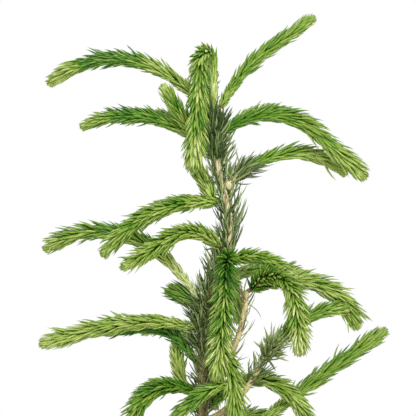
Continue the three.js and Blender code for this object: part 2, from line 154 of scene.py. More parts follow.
def add_node(tree, kind, settings, links):
    """Adds a node, sets its inputs or properties by name, and links sockets to its inputs."""
    node = tree.nodes.new(kind)
    for name, value in settings.items():
        inputs = {socket.identifier: socket for socket in node.inputs}
        if name in inputs:
            inputs[name].default_value = value
        else:
            setattr(node, name, value)
    inputs = {socket.identifier: socket for socket in node.inputs}
    for name, socket in links.items():
        tree.links.new(socket, inputs[name])
    return node


def start_material(name, roughness, gloss):
    """A material with its node tree and its shader, which has one roughness and gloss all over."""
    material = bpy.data.materials.new(name)
    material.use_nodes = True
    shader = material.node_tree.nodes["Principled BSDF"]
    shader.inputs["Roughness"].default_value = roughness
    shader.inputs["Specular IOR Level"].default_value = gloss
    return material, material.node_tree, shader


# Spruce bark: dry, matt and brown, with darker furrows along the stem and pale flakes. The younger wood
# higher up is cream, and the leader's last stretch is green.
BARK_FURROW = "#7c6743"
BARK_TAN = "#b09869"
BARK_FLAKE = "#d9caa2"
BARK_CREAM = "#e6dab2"
BARK_GREEN = "#8fa246"
BARK_ROUGHNESS = 0.88
BARK_GLOSS = 0.25
CREAM_FROM = 350
CREAM_TO = 450
GREEN_FROM = 506
GREEN_TO = 520

# Where the noise of the furrows turns from dark to plain bark, and that of the flakes from bark to pale
FURROW_DARK = 0.36
FURROW_PLAIN = 0.58
FURROW_DETAIL = 3
FLAKE_PLAIN = 0.56
FLAKE_PALE = 0.74
FLAKE_DETAIL = 4
FLAKE_GRAIN = 0.6
FLAKE_BUMP = 0.7
FLAKE_BUMP_HEIGHT = 0.3

# The place of the colour among a Mix node's outputs, which share one name
MIX_COLOUR = 2


def add_bark_material(name, furrow, lower, upper, tip):
    material, tree, shader = start_material(name, BARK_ROUGHNESS, BARK_GLOSS)
    place = add_node(tree, "ShaderNodeTexCoord", {}, {}).outputs["Object"]
    stretched = add_node(
        tree, "ShaderNodeMapping", {"Scale": (1, 1, FURROW_WIDTH / FURROW_LENGTH)}, {"Vector": place}
    ).outputs["Vector"]
    furrows = add_node(
        tree,
        "ShaderNodeTexNoise",
        {"Scale": 1 / (FURROW_WIDTH * MM), "Detail": FURROW_DETAIL},
        {"Vector": stretched},
    ).outputs["Fac"]
    flakes = add_node(
        tree,
        "ShaderNodeTexNoise",
        {"Scale": 1 / (FLAKE_LENGTH * MM), "Detail": FLAKE_DETAIL, "Roughness": FLAKE_GRAIN},
        {"Vector": place},
    ).outputs["Fac"]
    height = add_node(tree, "ShaderNodeSeparateXYZ", {}, {"Vector": place}).outputs["Z"]
    turns = {
        "upper": (height, CREAM_FROM * MM, CREAM_TO * MM),
        "furrow": (furrows, FURROW_DARK, FURROW_PLAIN),
        "flake": (flakes, FLAKE_PLAIN, FLAKE_PALE),
        "tip": (height, GREEN_FROM * MM, GREEN_TO * MM),
    }
    shares = {}
    for part, (value, low, high) in turns.items():
        limits = {"From Min": low, "From Max": high}
        shares[part] = add_node(tree, "ShaderNodeMapRange", limits, {"Value": value}).outputs["Result"]
    ridge = add_node(
        tree,
        "ShaderNodeMix",
        {"data_type": "RGBA", "A_Color": linear(lower), "B_Color": linear(upper)},
        {"Factor_Float": shares["upper"]},
    ).outputs[MIX_COLOUR]
    colour = add_node(
        tree,
        "ShaderNodeMix",
        {"data_type": "RGBA", "A_Color": linear(furrow)},
        {"Factor_Float": shares["furrow"], "B_Color": ridge},
    ).outputs[MIX_COLOUR]
    for part, over in {"flake": BARK_FLAKE, "tip": tip}.items():
        colour = add_node(
            tree,
            "ShaderNodeMix",
            {"data_type": "RGBA", "B_Color": linear(over)},
            {"Factor_Float": shares[part], "A_Color": colour},
        ).outputs[MIX_COLOUR]
    bump = add_node(
        tree,
        "ShaderNodeBump",
        {"Strength": FLAKE_BUMP, "Distance": FLAKE_BUMP_HEIGHT * MM},
        {"Height": flakes},
    ).outputs["Normal"]
    tree.links.new(colour, shader.inputs["Base Color"])
    tree.links.new(bump, shader.inputs["Normal"])
    return material


bark = add_bark_material("spruce_bark", BARK_FURROW, BARK_TAN, BARK_CREAM, BARK_GREEN)
trunk_heights = np.linspace(0, TRUNK_HEIGHT, TRUNK_HEIGHT // TRUNK_STEP + 1)
trunk_line = {
    "point": trunk_centre(trunk_heights),
    "tangent": np.tile([0, 0, 1.0], (len(trunk_heights), 1)),
    "side": np.tile([1.0, 0, 0], (len(trunk_heights), 1)),
    "up": np.tile([0, 1.0, 0], (len(trunk_heights), 1)),
}


def trunk_relief(angle, distance, radius):
    fading = math.exp(-distance / FLARE_HEIGHT)
    lobe = FLARE_LOBE_DEPTH * fading * math.cos(FLARE_LOBES * angle + FLARE_LOBE_TURN)
    return lobe + bark_relief(angle, distance, radius)


bm = bmesh.new()
add_limb(bm, trunk_line, trunk_radius(trunk_heights), TRUNK_SIDES, trunk_relief)
add_bmesh_piece("trunk_bark", bm, bark, ["trunk"])

# Side branches
# Bare wood of earlier years, each one tapering limb that grows out of the trunk with a small collar at its
# root. Most hold one or more of this year's shoots at their tips.
BOUGH_ROOT_RADIUS = 3.5
BOUGH_TIP_RADIUS = 2.4
BOUGH_COLLAR_WIDTH = 1.4
BOUGH_COLLAR_LENGTH = 4
BOUGH_SUNK = 3.5
BOUGH_SIDES = 16
BOUGH_STEP = 1.5

# Where each branch leaves the trunk, its heading, its slopes at root and tip in degrees, and its length
BOUGHS = {
    "right_short": {"height": 451, "heading": 3, "rise": 48, "dip": 36, "length": 26},
    "right_tall": {"height": 250, "heading": -8, "rise": 55, "dip": 84, "length": 103},
    "right_low": {"height": 216, "heading": -32, "rise": 30, "dip": 58, "length": 84},
    "right_bottom": {"height": 182, "heading": -2, "rise": 26, "dip": 40, "length": 56},
}

# The lowest whorls: each bough sags a little and ends in a hanging shoot with two side shoots, one of which
# leaves it three times as far along as the other
LOW_WHORLS = {
    "upper": {"height": 160, "boughs": 4, "first_heading": 38, "bough_length": 84},
    "lower": {"height": 92, "boughs": 4, "first_heading": 82, "bough_length": 76},
}
LOW_BOUGH = {"rise": 24, "dip": -6}
LOW_MAIN = {"dip": -56, "length": 118}
LOW_SIDE = {"at": 0.05, "splay": 46, "rise": 12, "dip": -48, "length": 84}
LOW_SPREAD = {"height": 7, "heading": 12, "slope": 7, "length": 0.12}
WHORL_SEED = 1907
RUN_FACTOR = 48271
RUN_SIZE = 2147483647

run_state = WHORL_SEED


def spread(size):
    """The next number of a repeatable run, between minus and plus a size."""
    global run_state
    run_state = run_state * RUN_FACTOR % RUN_SIZE
    return size * (2 * run_state / RUN_SIZE - 1)


def uneven(heading, rise, dip, length):
    """A limb of a low whorl, a little off the even plan."""
    return {
        "heading": heading + spread(LOW_SPREAD["heading"]),
        "rise": rise + spread(LOW_SPREAD["slope"]),
        "dip": dip + spread(LOW_SPREAD["slope"]),
        "length": length * (1 + spread(LOW_SPREAD["length"])),
    }


def direction(heading, slope):
    """The way that a heading and a slope in degrees point."""
    turn = np.radians(heading)
    lift = np.radians(slope)
    return np.stack([np.cos(turn) * np.cos(lift), np.sin(turn) * np.cos(lift), np.sin(lift) + 0 * turn], -1)


def grow_line(plan, root, count):
    """The line of a limb: it leaves its root at one slope and turns smoothly to another."""
    share = np.arange(count + 1) / count
    heading = plan["heading"] + plan.get("curl", 0) * share
    slope = lerp(plan["rise"], plan["dip"], smoothstep(share, 0, plan.get("turn", 1)))
    tangent = direction(heading, slope)
    side = direction(heading + 90, 0 * share)
    steps = tangent[:-1] * plan["length"] / count
    point = root + np.vstack([np.zeros(3), np.cumsum(steps, 0)])
    return {"point": point, "tangent": tangent, "side": side, "up": np.cross(tangent, side)}


def sunk_line(line, depth):
    """The same line with one more place before its root, inside the limb that carries it."""
    first = {key: line[key][:1] for key in line}
    first["point"] = first["point"] - depth * first["tangent"]
    return {key: np.vstack([first[key], line[key]]) for key in line}


def root_on_trunk(plan, radius):
    """Where a limb's line begins, a gap clear of the trunk's bark or tip."""
    if plan["height"] >= TRUNK_HEIGHT:
        return trunk_centre(TRUNK_HEIGHT) + np.array([0, 0, GAP])
    away = trunk_radius(plan["height"]) + GAP + radius * abs(math.sin(math.radians(plan["rise"])))
    return trunk_centre(plan["height"]) + direction(plan["heading"], 0.0) * away


low_masses = {}
for level, whorl in LOW_WHORLS.items():
    for i in range(whorl["boughs"]):
        name = f"{level}_whorl_{i + 1}"
        first_heading = whorl["first_heading"] + 360 / whorl["boughs"] * i
        limb = uneven(first_heading, LOW_BOUGH["rise"], LOW_BOUGH["dip"], whorl["bough_length"])
        main = uneven(limb["heading"], limb["dip"], LOW_MAIN["dip"], LOW_MAIN["length"])
        sides = []
        for hand in (-1, 1):
            side_heading = limb["heading"] + hand * LOW_SIDE["splay"]
            side = uneven(side_heading, LOW_SIDE["rise"], LOW_SIDE["dip"], LOW_SIDE["length"])
            sides.append({"at": LOW_SIDE["at"] * (2 + hand), **side})
        BOUGHS[name] = {**limb, "height": whorl["height"] + spread(LOW_SPREAD["height"])}
        low_masses[name] = {"main": {**main, "bough": name}, "sides": sides}

# Young spruce bark: thinner and smoother than the trunk's, straw-coloured with tan furrows.
BOUGH_FURROW = "#b39d6c"
BOUGH_STRAW = "#e0d0a0"

young_bark = add_bark_material("young_spruce_bark", BOUGH_FURROW, BOUGH_STRAW, BARK_CREAM, BARK_CREAM)

bm = bmesh.new()
bough_lines = {}
for name, plan in BOUGHS.items():
    count = round(plan["length"] / BOUGH_STEP)
    line = grow_line(plan, root_on_trunk(plan, BOUGH_ROOT_RADIUS), count)
    bough_lines[name] = line
    whole = sunk_line(line, BOUGH_SUNK)
    distance = np.concatenate([[0], np.arange(count + 1) * plan["length"] / count])
    taper = lerp(BOUGH_ROOT_RADIUS, BOUGH_TIP_RADIUS, distance / plan["length"])
    collar = BOUGH_COLLAR_WIDTH * np.exp(-distance / BOUGH_COLLAR_LENGTH)
    add_limb(bm, whole, taper + collar, BOUGH_SIDES, bark_relief)
add_bmesh_piece("bough_bark", bm, young_bark, [f"bough_{name}" for name in BOUGHS])

# Needle pegs
# Small woody pegs that stay on the bark where older needles have fallen, in a close spiral round the trunk
# and the boughs, each leaning towards the tip of its limb.
GOLDEN_ANGLE = math.radians(137.508)
BLADE_SIDES = 4
PEG_LENGTH = 1.5
PEG_LENGTHS = (0.7, 1.2)
PEG_WIDTH = 0.9
PEG_WIDTHS = (0.8, 1.2)
PEG_FLATNESS = 0.8
PEG_LEAN = 55
PEG_LEAN_SPREAD = 8
PEG_TURN_SPREAD = 0.15
PEG_SUNK = 0.3
PEGS_PER_MM = 1.6
TRUNK_PEGS_FROM = 40
BOUGH_PEGS_FROM = 4

rng = np.random.default_rng(WHORL_SEED)


def blade_template(swell):
    """A slim four-sided blade from its foot at zero to its point at one, as vertices and triangles."""
    bm = bmesh.new()
    bmesh.ops.create_cone(bm, cap_ends=True, segments=BLADE_SIDES, radius1=0.5, radius2=0, depth=1)
    bmesh.ops.translate(bm, vec=Vector((0, 0, 0.5)), verts=bm.verts)
    if swell:
        bmesh.ops.subdivide_edges(bm, edges=lengthwise_edges(bm), cuts=len(swell) - 1)
    for vert in bm.verts:
        across = math.hypot(vert.co.x, vert.co.y)
        if swell and across > 0:
            ring = round(vert.co.z * len(swell))
            vert.co.x *= 0.5 * swell[ring] / across
            vert.co.y *= 0.5 * swell[ring] / across
    bmesh.ops.triangulate(bm, faces=bm.faces)
    bmesh.ops.recalc_face_normals(bm, faces=bm.faces)
    bm.verts.index_update()
    vertices = np.array([vert.co for vert in bm.verts])
    triangles = np.array([[vert.index for vert in face.verts] for face in bm.faces])
    bm.free()
    return vertices, triangles


def add_blades(name, template, blades, material, nodes=()):
    """One joined mesh of many blades, each with its foot, direction, outer side, length, width and bend."""
    vertices, triangles = template
    along = blades["direction"]
    across = np.cross(along, blades["out"])
    across = across / np.linalg.norm(across, axis=1, keepdims=True)
    over = np.cross(across, along)
    width = blades["width"][:, None, None]
    length = blades["length"][:, None, None]
    bend = blades["bend"][:, None, None]
    x = vertices[None, :, 0:1] * width
    y = vertices[None, :, 1:2] * width * blades["flat"]
    z = vertices[None, :, 2:3]
    points = (
        blades["foot"][:, None, :]
        + along[:, None, :] * z * length
        + over[:, None, :] * (y - bend * length * z * z)
        + across[:, None, :] * x
    )
    count = len(points)
    corners = (triangles[None] + np.arange(count)[:, None, None] * len(vertices)).ravel()
    mesh = bpy.data.meshes.new(name)
    mesh.vertices.add(count * len(vertices))
    mesh.vertices.foreach_set("co", (points * MM).astype(np.float32).ravel())
    mesh.loops.add(len(corners))
    mesh.loops.foreach_set("vertex_index", corners.astype(np.int32))
    mesh.polygons.add(len(corners) // 3)
    mesh.polygons.foreach_set("loop_start", np.arange(0, len(corners), 3, dtype=np.int32))
    mesh.update(calc_edges=True)
    add_object(name, mesh, material, nodes)


def along_line(line, share):
    """The places at some shares of a limb's line."""
    at = np.clip(share, 0, 1) * (len(line["point"]) - 1)
    low = np.minimum(at.astype(int), len(line["point"]) - 2)
    part = (at - low)[:, None]
    return {key: lerp(line[key][low], line[key][low + 1], part) for key in line}


def outward(place, angle):
    """The way out of a limb at some places, at angles round its line."""
    return place["side"] * np.cos(angle)[:, None] + place["up"] * np.sin(angle)[:, None]


def stand_out(line, share, angle, radius, lean):
    """The foot, direction and outward side of blades on a limb, which lean away from its line."""
    place = along_line(line, share)
    out = outward(place, angle)
    along = place["tangent"] * np.cos(lean)[:, None] + out * np.sin(lean)[:, None]
    foot = place["point"] + out * radius[:, None]
    return {"foot": foot, "direction": along / np.linalg.norm(along, axis=1, keepdims=True), "out": out}


def even_places(count):
    """Shares from zero to one, with one at a chance place in each of some equal steps."""
    return (np.arange(count) + rng.random(count)) / count


def join_blades(parts):
    """The blades of several limbs as one set. Their flatness is the same."""
    keys = [key for key in parts[0] if key != "flat"]
    joined = {key: np.concatenate([part[key] for part in parts]) for key in keys}
    return {**joined, "flat": parts[0]["flat"]}


peg_parts = []
peg_limbs = [(trunk_line, TRUNK_HEIGHT, TRUNK_PEGS_FROM)]
peg_limbs += [(bough_lines[name], BOUGHS[name]["length"], BOUGH_PEGS_FROM) for name in BOUGHS]
for line, length, start in peg_limbs:
    count = round((length - start) * PEGS_PER_MM)
    distance = lerp(start, length, even_places(count))
    share = distance / length
    angle = np.arange(count) * GOLDEN_ANGLE + rng.normal(0, PEG_TURN_SPREAD, count)
    if line is trunk_line:
        radius = trunk_radius(distance)
    else:
        radius = lerp(BOUGH_ROOT_RADIUS, BOUGH_TIP_RADIUS, share)
    lean = np.radians(PEG_LEAN + rng.normal(0, PEG_LEAN_SPREAD, count))
    pegs = stand_out(line, share, angle, radius - PEG_SUNK, lean)
    pegs["length"] = PEG_LENGTH * rng.uniform(*PEG_LENGTHS, count)
    pegs["width"] = PEG_WIDTH * rng.uniform(*PEG_WIDTHS, count)
    pegs["bend"] = np.zeros(count)
    pegs["flat"] = PEG_FLATNESS
    peg_parts.append(pegs)
add_blades("needle_pegs", blade_template([]), join_blades(peg_parts), bark)

# Stems of the new shoots
# This year's growth: thin, soft stems with a pale yellow-green rind that arch out of the trunk or a bough's
# tip and hang over. The needles hide most of them.
STEM_ROOT_RADIUS = 1.3
STEM_BODY_RADIUS = 2.2
STEM_SWELL_SHARE = 0.2
STEM_TIP_RADIUS = 1.4
STEM_SUNK = 3.5
STEM_SIDES = 8
STEM_END_INSET = 7
STEM_EVERY = 2
ROW_SPACING = 11.5
FEWEST_ROWS = 4
STEPS_PER_ROW = 4

# Where each shoot that shows leaves the trunk or which branch's tip it leaves, its heading and how far that
# curls, its slopes at root and tip in degrees, its length, the share of it that turns, and its girth
SHOOTS = {
    "leader_hook": {
        "height": 558, "heading": 252, "curl": -36, "rise": 86, "dip": -84, "length": 158, "turn": 0.38,
        "girth": 1.1,
    },
    "top_right_high": {
        "height": 526, "heading": 6, "rise": 60, "dip": 35, "length": 136, "turn": 0.7, "girth": 0.85,
    },
    "top_left_high": {
        "height": 524, "heading": 172, "rise": 46, "dip": -41, "length": 187, "turn": 1.17, "girth": 0.95,
    },
    "top_right_middle": {
        "height": 502, "heading": -10, "rise": 31, "dip": -42, "length": 169, "turn": 0.7, "girth": 1.1,
    },
    "top_left_short": {
        "height": 482, "heading": 200, "rise": 44, "dip": 58, "length": 85, "turn": 0.8, "girth": 0.9,
    },
    "top_left_low": {
        "height": 486, "heading": 180, "rise": 36, "dip": -30, "length": 140, "turn": 1.2, "girth": 0.9,
    },
    "top_right_low": {
        "bough": "right_short", "heading": 6, "rise": 26, "dip": -42, "length": 106, "turn": 1.1,
        "girth": 0.95,
    },
    "left_hook": {"height": 386, "heading": 215, "rise": 38, "dip": -27, "length": 129, "turn": 0.6},
    "front_high": {
        "height": 376, "heading": 281, "curl": -80, "rise": 20, "dip": -82, "length": 147, "turn": 0.38,
        "girth": 1.35,
    },
    "right_upper": {
        "height": 377, "heading": -14, "rise": 12, "dip": -35, "length": 74, "turn": 0.8, "girth": 0.9,
    },
    "left_long_arch": {
        "height": 333, "heading": 172, "rise": 55, "dip": -47, "length": 189, "turn": 1.3, "girth": 1.05,
    },
    "left_short": {"height": 331, "heading": 150, "rise": 25, "dip": 10, "length": 40, "girth": 1.2},
    "left_long_low": {
        "height": 309, "heading": 199, "rise": 9, "dip": -14, "length": 162, "turn": 0.8, "girth": 1.05,
    },
    "left_under": {
        "height": 272, "heading": 172, "rise": 58, "dip": -8, "length": 112, "turn": 0.75, "girth": 0.8,
    },
    "left_riser": {
        "height": 247, "heading": 156, "rise": 4, "dip": 82, "length": 60, "turn": 0.5, "girth": 0.8,
    },
    "right_droop": {"height": 229, "heading": -12, "rise": 48, "dip": -54, "length": 130, "turn": 0.9},
    "right_straight": {"bough": "right_bottom", "heading": 4, "rise": 37, "dip": 34, "length": 158},
    "right_bottom": {"height": 206, "heading": -40, "rise": 20, "dip": -50, "length": 112, "girth": 0.95},
}

# Shoots that fork: a side shoot leaves its main shoot at a share of that one's length. It may be lighter or
# darker, have its own kind of needles, or be bare of new ones.
FORKED_SHOOTS = {
    "middle_left": {
        "main": {"height": 434, "heading": 203, "rise": 0, "dip": -50, "length": 142, "turn": 1.1},
        "sides": [
            {"at": 0.06, "heading": 150, "rise": 62, "dip": 54, "length": 42, "girth": 0.95, "tone": 0.4},
        ],
    },
    "front_low": {
        "main": {
            "height": 284, "heading": 300, "rise": 15, "dip": -78, "length": 122, "turn": 0.6, "girth": 1.1,
        },
        "sides": [
            {
                "at": 0.55, "heading": 196, "rise": -20, "dip": -42, "length": 70, "girth": 0.95,
                "tone": -0.8,
            },
        ],
    },
    "left_low": {
        "main": {"height": 242, "heading": 220, "rise": 22, "dip": -68, "length": 116, "girth": 1.15},
        "sides": [
            {"at": 0.12, "heading": 186, "rise": 20, "dip": -52, "length": 60, "girth": 0.95, "tone": 0.4},
        ],
    },
    "right_arch": {
        "main": {"bough": "right_tall", "heading": -3, "rise": 20, "dip": -83, "length": 132, "turn": 1.25},
        "sides": [
            {
                "at": 0.02, "heading": -44, "rise": 38, "dip": -84, "length": 125, "turn": 0.73,
                "girth": 1.2, "dress": "right_hook",
            },
        ],
    },
    "right_low": {
        "main": {
            "bough": "right_low", "heading": 8, "rise": 56, "dip": -4, "length": 108, "turn": 1.2,
            "girth": 0.9,
        },
        "sides": [
            {"at": 0.06, "heading": -52, "rise": 46, "dip": 40, "length": 38, "girth": 0.9, "old": True},
        ],
    },
}

# Shoots on the far side and low on the trunk, which fill the crown all round
FAR_SHOOTS = {
    "back_top": {"height": 530, "heading": 96, "rise": 58, "dip": -62, "length": 150, "turn": 0.8},
    "back_top_right": {
        "height": 500, "heading": 40, "rise": 34, "dip": -12, "length": 118, "turn": 0.95, "girth": 0.85,
    },
    "back_top_left": {
        "height": 492, "heading": 138, "rise": 30, "dip": -10, "length": 132, "turn": 1.1, "girth": 0.85,
    },
    "back_middle_left": {
        "height": 434, "heading": 136, "rise": 3, "dip": -30, "length": 132, "turn": 1.1, "girth": 0.95,
    },
    "back_middle_right": {
        "height": 354, "heading": 46, "rise": 16, "dip": -14, "length": 132, "girth": 0.95,
    },
    "back_middle": {"height": 338, "heading": 74, "rise": 44, "dip": -54, "length": 144, "turn": 0.8},
    "back_low_left": {"height": 294, "heading": 118, "rise": 14, "dip": -6, "length": 134, "turn": 0.8},
    "back_low": {"height": 262, "heading": 84, "rise": 30, "dip": -58, "length": 136, "turn": 0.8},
    "back_low_right": {"height": 208, "heading": 38, "rise": 16, "dip": -34, "length": 136, "turn": 0.9},
    "low_left": {"height": 186, "heading": 168, "rise": 22, "dip": -40, "length": 132},
    "low_front": {"height": 196, "heading": 262, "rise": 20, "dip": -62, "length": 118},
    "low_back": {"height": 188, "heading": 102, "rise": 24, "dip": -54, "length": 124},
}

# Soft green rind: smooth, slightly waxy and pale yellow-green, with faint deeper spots.
RIND_PALE = "#7f9640"
RIND_GREEN = "#66812f"
RIND_MOTTLE = 1.2
RIND_ROUGHNESS = 0.55
RIND_GLOSS = 0.4
MOTTLE_DETAIL = 2


def add_mottled_material(name, light, dark, mottle_size, roughness, gloss):
    """A material of two near colours that run into each other in soft spots of a size in mm."""
    material, tree, shader = start_material(name, roughness, gloss)
    place = add_node(tree, "ShaderNodeTexCoord", {}, {}).outputs["Object"]
    mottle = add_node(
        tree,
        "ShaderNodeTexNoise",
        {"Scale": 1 / (mottle_size * MM), "Detail": MOTTLE_DETAIL},
        {"Vector": place},
    ).outputs["Fac"]
    colour = add_node(
        tree,
        "ShaderNodeMix",
        {"data_type": "RGBA", "A_Color": linear(dark), "B_Color": linear(light)},
        {"Factor_Float": mottle},
    ).outputs[MIX_COLOUR]
    tree.links.new(colour, shader.inputs["Base Color"])
    return material


rind = add_mottled_material("green_rind", RIND_PALE, RIND_GREEN, RIND_MOTTLE, RIND_ROUGHNESS, RIND_GLOSS)


def shoot_root(plan):
    """Where a shoot's line begins, a gap clear of the trunk or of its branch's tip."""
    if "bough" not in plan:
        return root_on_trunk(plan, STEM_ROOT_RADIUS)
    tip = bough_lines[plan["bough"]]
    return tip["point"][-1] + GAP * tip["tangent"][-1]


def stem_radius(share):
    """A stem is thin at its root, swells, and gets thinner again towards its tip."""
    body = lerp(STEM_ROOT_RADIUS, STEM_BODY_RADIUS, smoothstep(share, 0, STEM_SWELL_SHARE))
    return lerp(body, STEM_TIP_RADIUS, smoothstep(share, STEM_SWELL_SHARE, 1))


def grow_shoot(plan, root):
    rows = max(FEWEST_ROWS, round(plan["length"] / ROW_SPACING))
    line = grow_line(plan, root, rows * STEPS_PER_ROW)
    end = 1 - STEM_END_INSET / plan["length"]
    return {"girth": 1, "tone": 0, "old": False, **plan, "line": line, "end": end}


single_shoots = {**SHOOTS, **FAR_SHOOTS}
masses = {f"shoot_{name}": {"main": plan, "sides": []} for name, plan in single_shoots.items()}
masses.update({f"shoots_{name}": plan for name, plan in {**FORKED_SHOOTS, **low_masses}.items()})
shoots = []
for name, mass in masses.items():
    stem = grow_shoot(mass["main"], shoot_root(mass["main"]))
    shoots.append({"mass": name, **stem})
    for side in mass["sides"]:
        start = round(side["at"] * (len(stem["line"]["point"]) - 1))
        shoots.append({"mass": name, **grow_shoot(side, stem["line"]["point"][start])})

# The leader's needles begin on the last stretch of the trunk
LEADER_FOOT = 514
LEADER_FOOT_STEPS = 15

leader = shoots[0]
foot_share = np.linspace(LEADER_FOOT / TRUNK_HEIGHT, 1, LEADER_FOOT_STEPS + 1)[:-1]
leader_foot = along_line(trunk_line, foot_share)
leader["line"] = {key: np.vstack([leader_foot[key], leader["line"][key]]) for key in leader["line"]}
leader["length"] += TRUNK_HEIGHT - LEADER_FOOT

bm = bmesh.new()
for shoot in shoots:
    line = shoot["line"]
    last = math.ceil(shoot["end"] * (len(line["point"]) - 1))
    kept = {key: line[key][:last + 1:STEM_EVERY] for key in line}
    whole = sunk_line(kept, STEM_SUNK)
    shares = np.concatenate([[0], np.linspace(0, shoot["end"], len(kept["point"]))])
    add_limb(bm, whole, stem_radius(shares), STEM_SIDES, lambda angle, distance, radius: 0)
add_bmesh_piece("shoot_stems", bm, rind)

# Bud scales
# Dry papery scales of the opened winter bud. They split apart as the new shoot pushed out, and stay as a
# small cup round its foot.
SCALE_LENGTH = 3.6
SCALE_LENGTHS = (0.7, 1.2)
SCALE_WIDTH = 2.2
SCALE_WIDTHS = (0.8, 1.1)
SCALE_FLATNESS = 0.22
SCALE_SWELL = [0.7, 1, 0.8]
SCALE_BENDS = (-0.1, 0.2)
SCALE_LEAN = 16
SCALE_LEAN_SPREAD = 5
SCALES_PER_CUP = 18
CUP_LENGTH = 3.4

# Dry bud scale: thin, papery and matt, with chestnut and straw-coloured spots.
SCALE_STRAW = "#c4ad78"
SCALE_CHESTNUT = "#8a6a3c"
SCALE_MOTTLE = 2
SCALE_ROUGHNESS = 0.8
SCALE_GLOSS = 0.5

papery = add_mottled_material(
    "dry_bud_scale", SCALE_STRAW, SCALE_CHESTNUT, SCALE_MOTTLE, SCALE_ROUGHNESS, SCALE_GLOSS
)
scale_parts = []
for shoot in shoots:
    count = SCALES_PER_CUP
    share = CUP_LENGTH / shoot["length"] * even_places(count)
    angle = np.arange(count) * GOLDEN_ANGLE
    lean = np.radians(SCALE_LEAN + rng.normal(0, SCALE_LEAN_SPREAD, count))
    scales = stand_out(shoot["line"], share, angle, np.full(count, STEM_ROOT_RADIUS), lean)
    scales["length"] = SCALE_LENGTH * rng.uniform(*SCALE_LENGTHS, count)
    scales["width"] = SCALE_WIDTH * rng.uniform(*SCALE_WIDTHS, count)
    scales["bend"] = rng.uniform(*SCALE_BENDS, count)
    scales["flat"] = SCALE_FLATNESS
    scale_parts.append(scales)
add_blades("bud_scales", blade_template(SCALE_SWELL), join_blades(scale_parts), papery)

# New needles
# Soft four-sided needles of this year, set in a close spiral all round each new shoot and pointing forward.
# They shade to pale yellow-green at the blunt tip, and the foot of some is deep green. Their upper sides
# and some stretches carry painted shade and painted light.
NEEDLE_LENGTH = 18.5
NEEDLE_LENGTHS = (0.88, 1.1)
NEEDLE_WIDTH = 2.6
NEEDLE_WIDTHS = (0.85, 1.15)
NEEDLE_FLATNESS = 0.7
NEEDLE_SWELL = [0.65, 1, 1, 0.8]
NEEDLE_BEND = 0.29
NEEDLE_BENDS = (0.7, 1.25)
NEEDLE_SEAT = 0.8
NEEDLE_TURN_SPREAD = 0.2
NEEDLE_LEAN_SPREAD = 5
NEEDLES_PER_MM = 2.35
NEEDLES_FROM = 2.5
UNDER_LEAN = 10
UPPER_LEAN = 4
STRAY_SHARE = 0.025
STRAY_LEAN = 15

# Towards the tip the needles close up and get shorter, and a tuft of them rounds it off
TIP_SHORTENED = 24
TIP_LEAN = 30
TIP_REACH = 6.5
TIP_ROUNDING = 0.8
STEEPEST_LEAN = 60
TIP_NEEDLES = 44
TIP_NEEDLE_LENGTH = 10
TIP_NEEDLE_LEAN = 46
TIP_NEEDLE_BEND = 0.3
TIP_NEEDLE_SEAT = 0.4

# The plain tone of a shoot, and where its needles leave that tone: in patches, on top as painted shade,
# half-way, at the tip
BODY_SHADE = 2.74
PATCH_LENGTH = 46
TOP_PAINTED_SHADE = 0.2
MIDDLE_SHIFT = 1.4
MIDDLE_NARROWING = 4
PALE_TIP_FROM = 0.6

# A shoot's needles: their lean along the shoot and at its foot, the share of the full length at the foot
# and where the foot ends, their size, width, closeness and bend, and how much longer they get towards the
# tip. Then how much lighter the whole shoot, its foot up to a share of it, its middle and its tip are, and
# how far the tones spread. The plain foot is a little lighter as painted light, against the shade near the
# trunk.
PLAIN_DRESS = {
    "lean": 44, "foot_lean": 44, "foot": 0.5, "foot_to": 0.42, "size": 1, "width": 1, "close": 1, "bend": 1,
    "club": 0.08, "tone": 0, "foot_tone": 0.3, "tone_to": 0.42, "middle_tone": 0, "tip_tone": 0.9,
    "spread": 0.4,
}
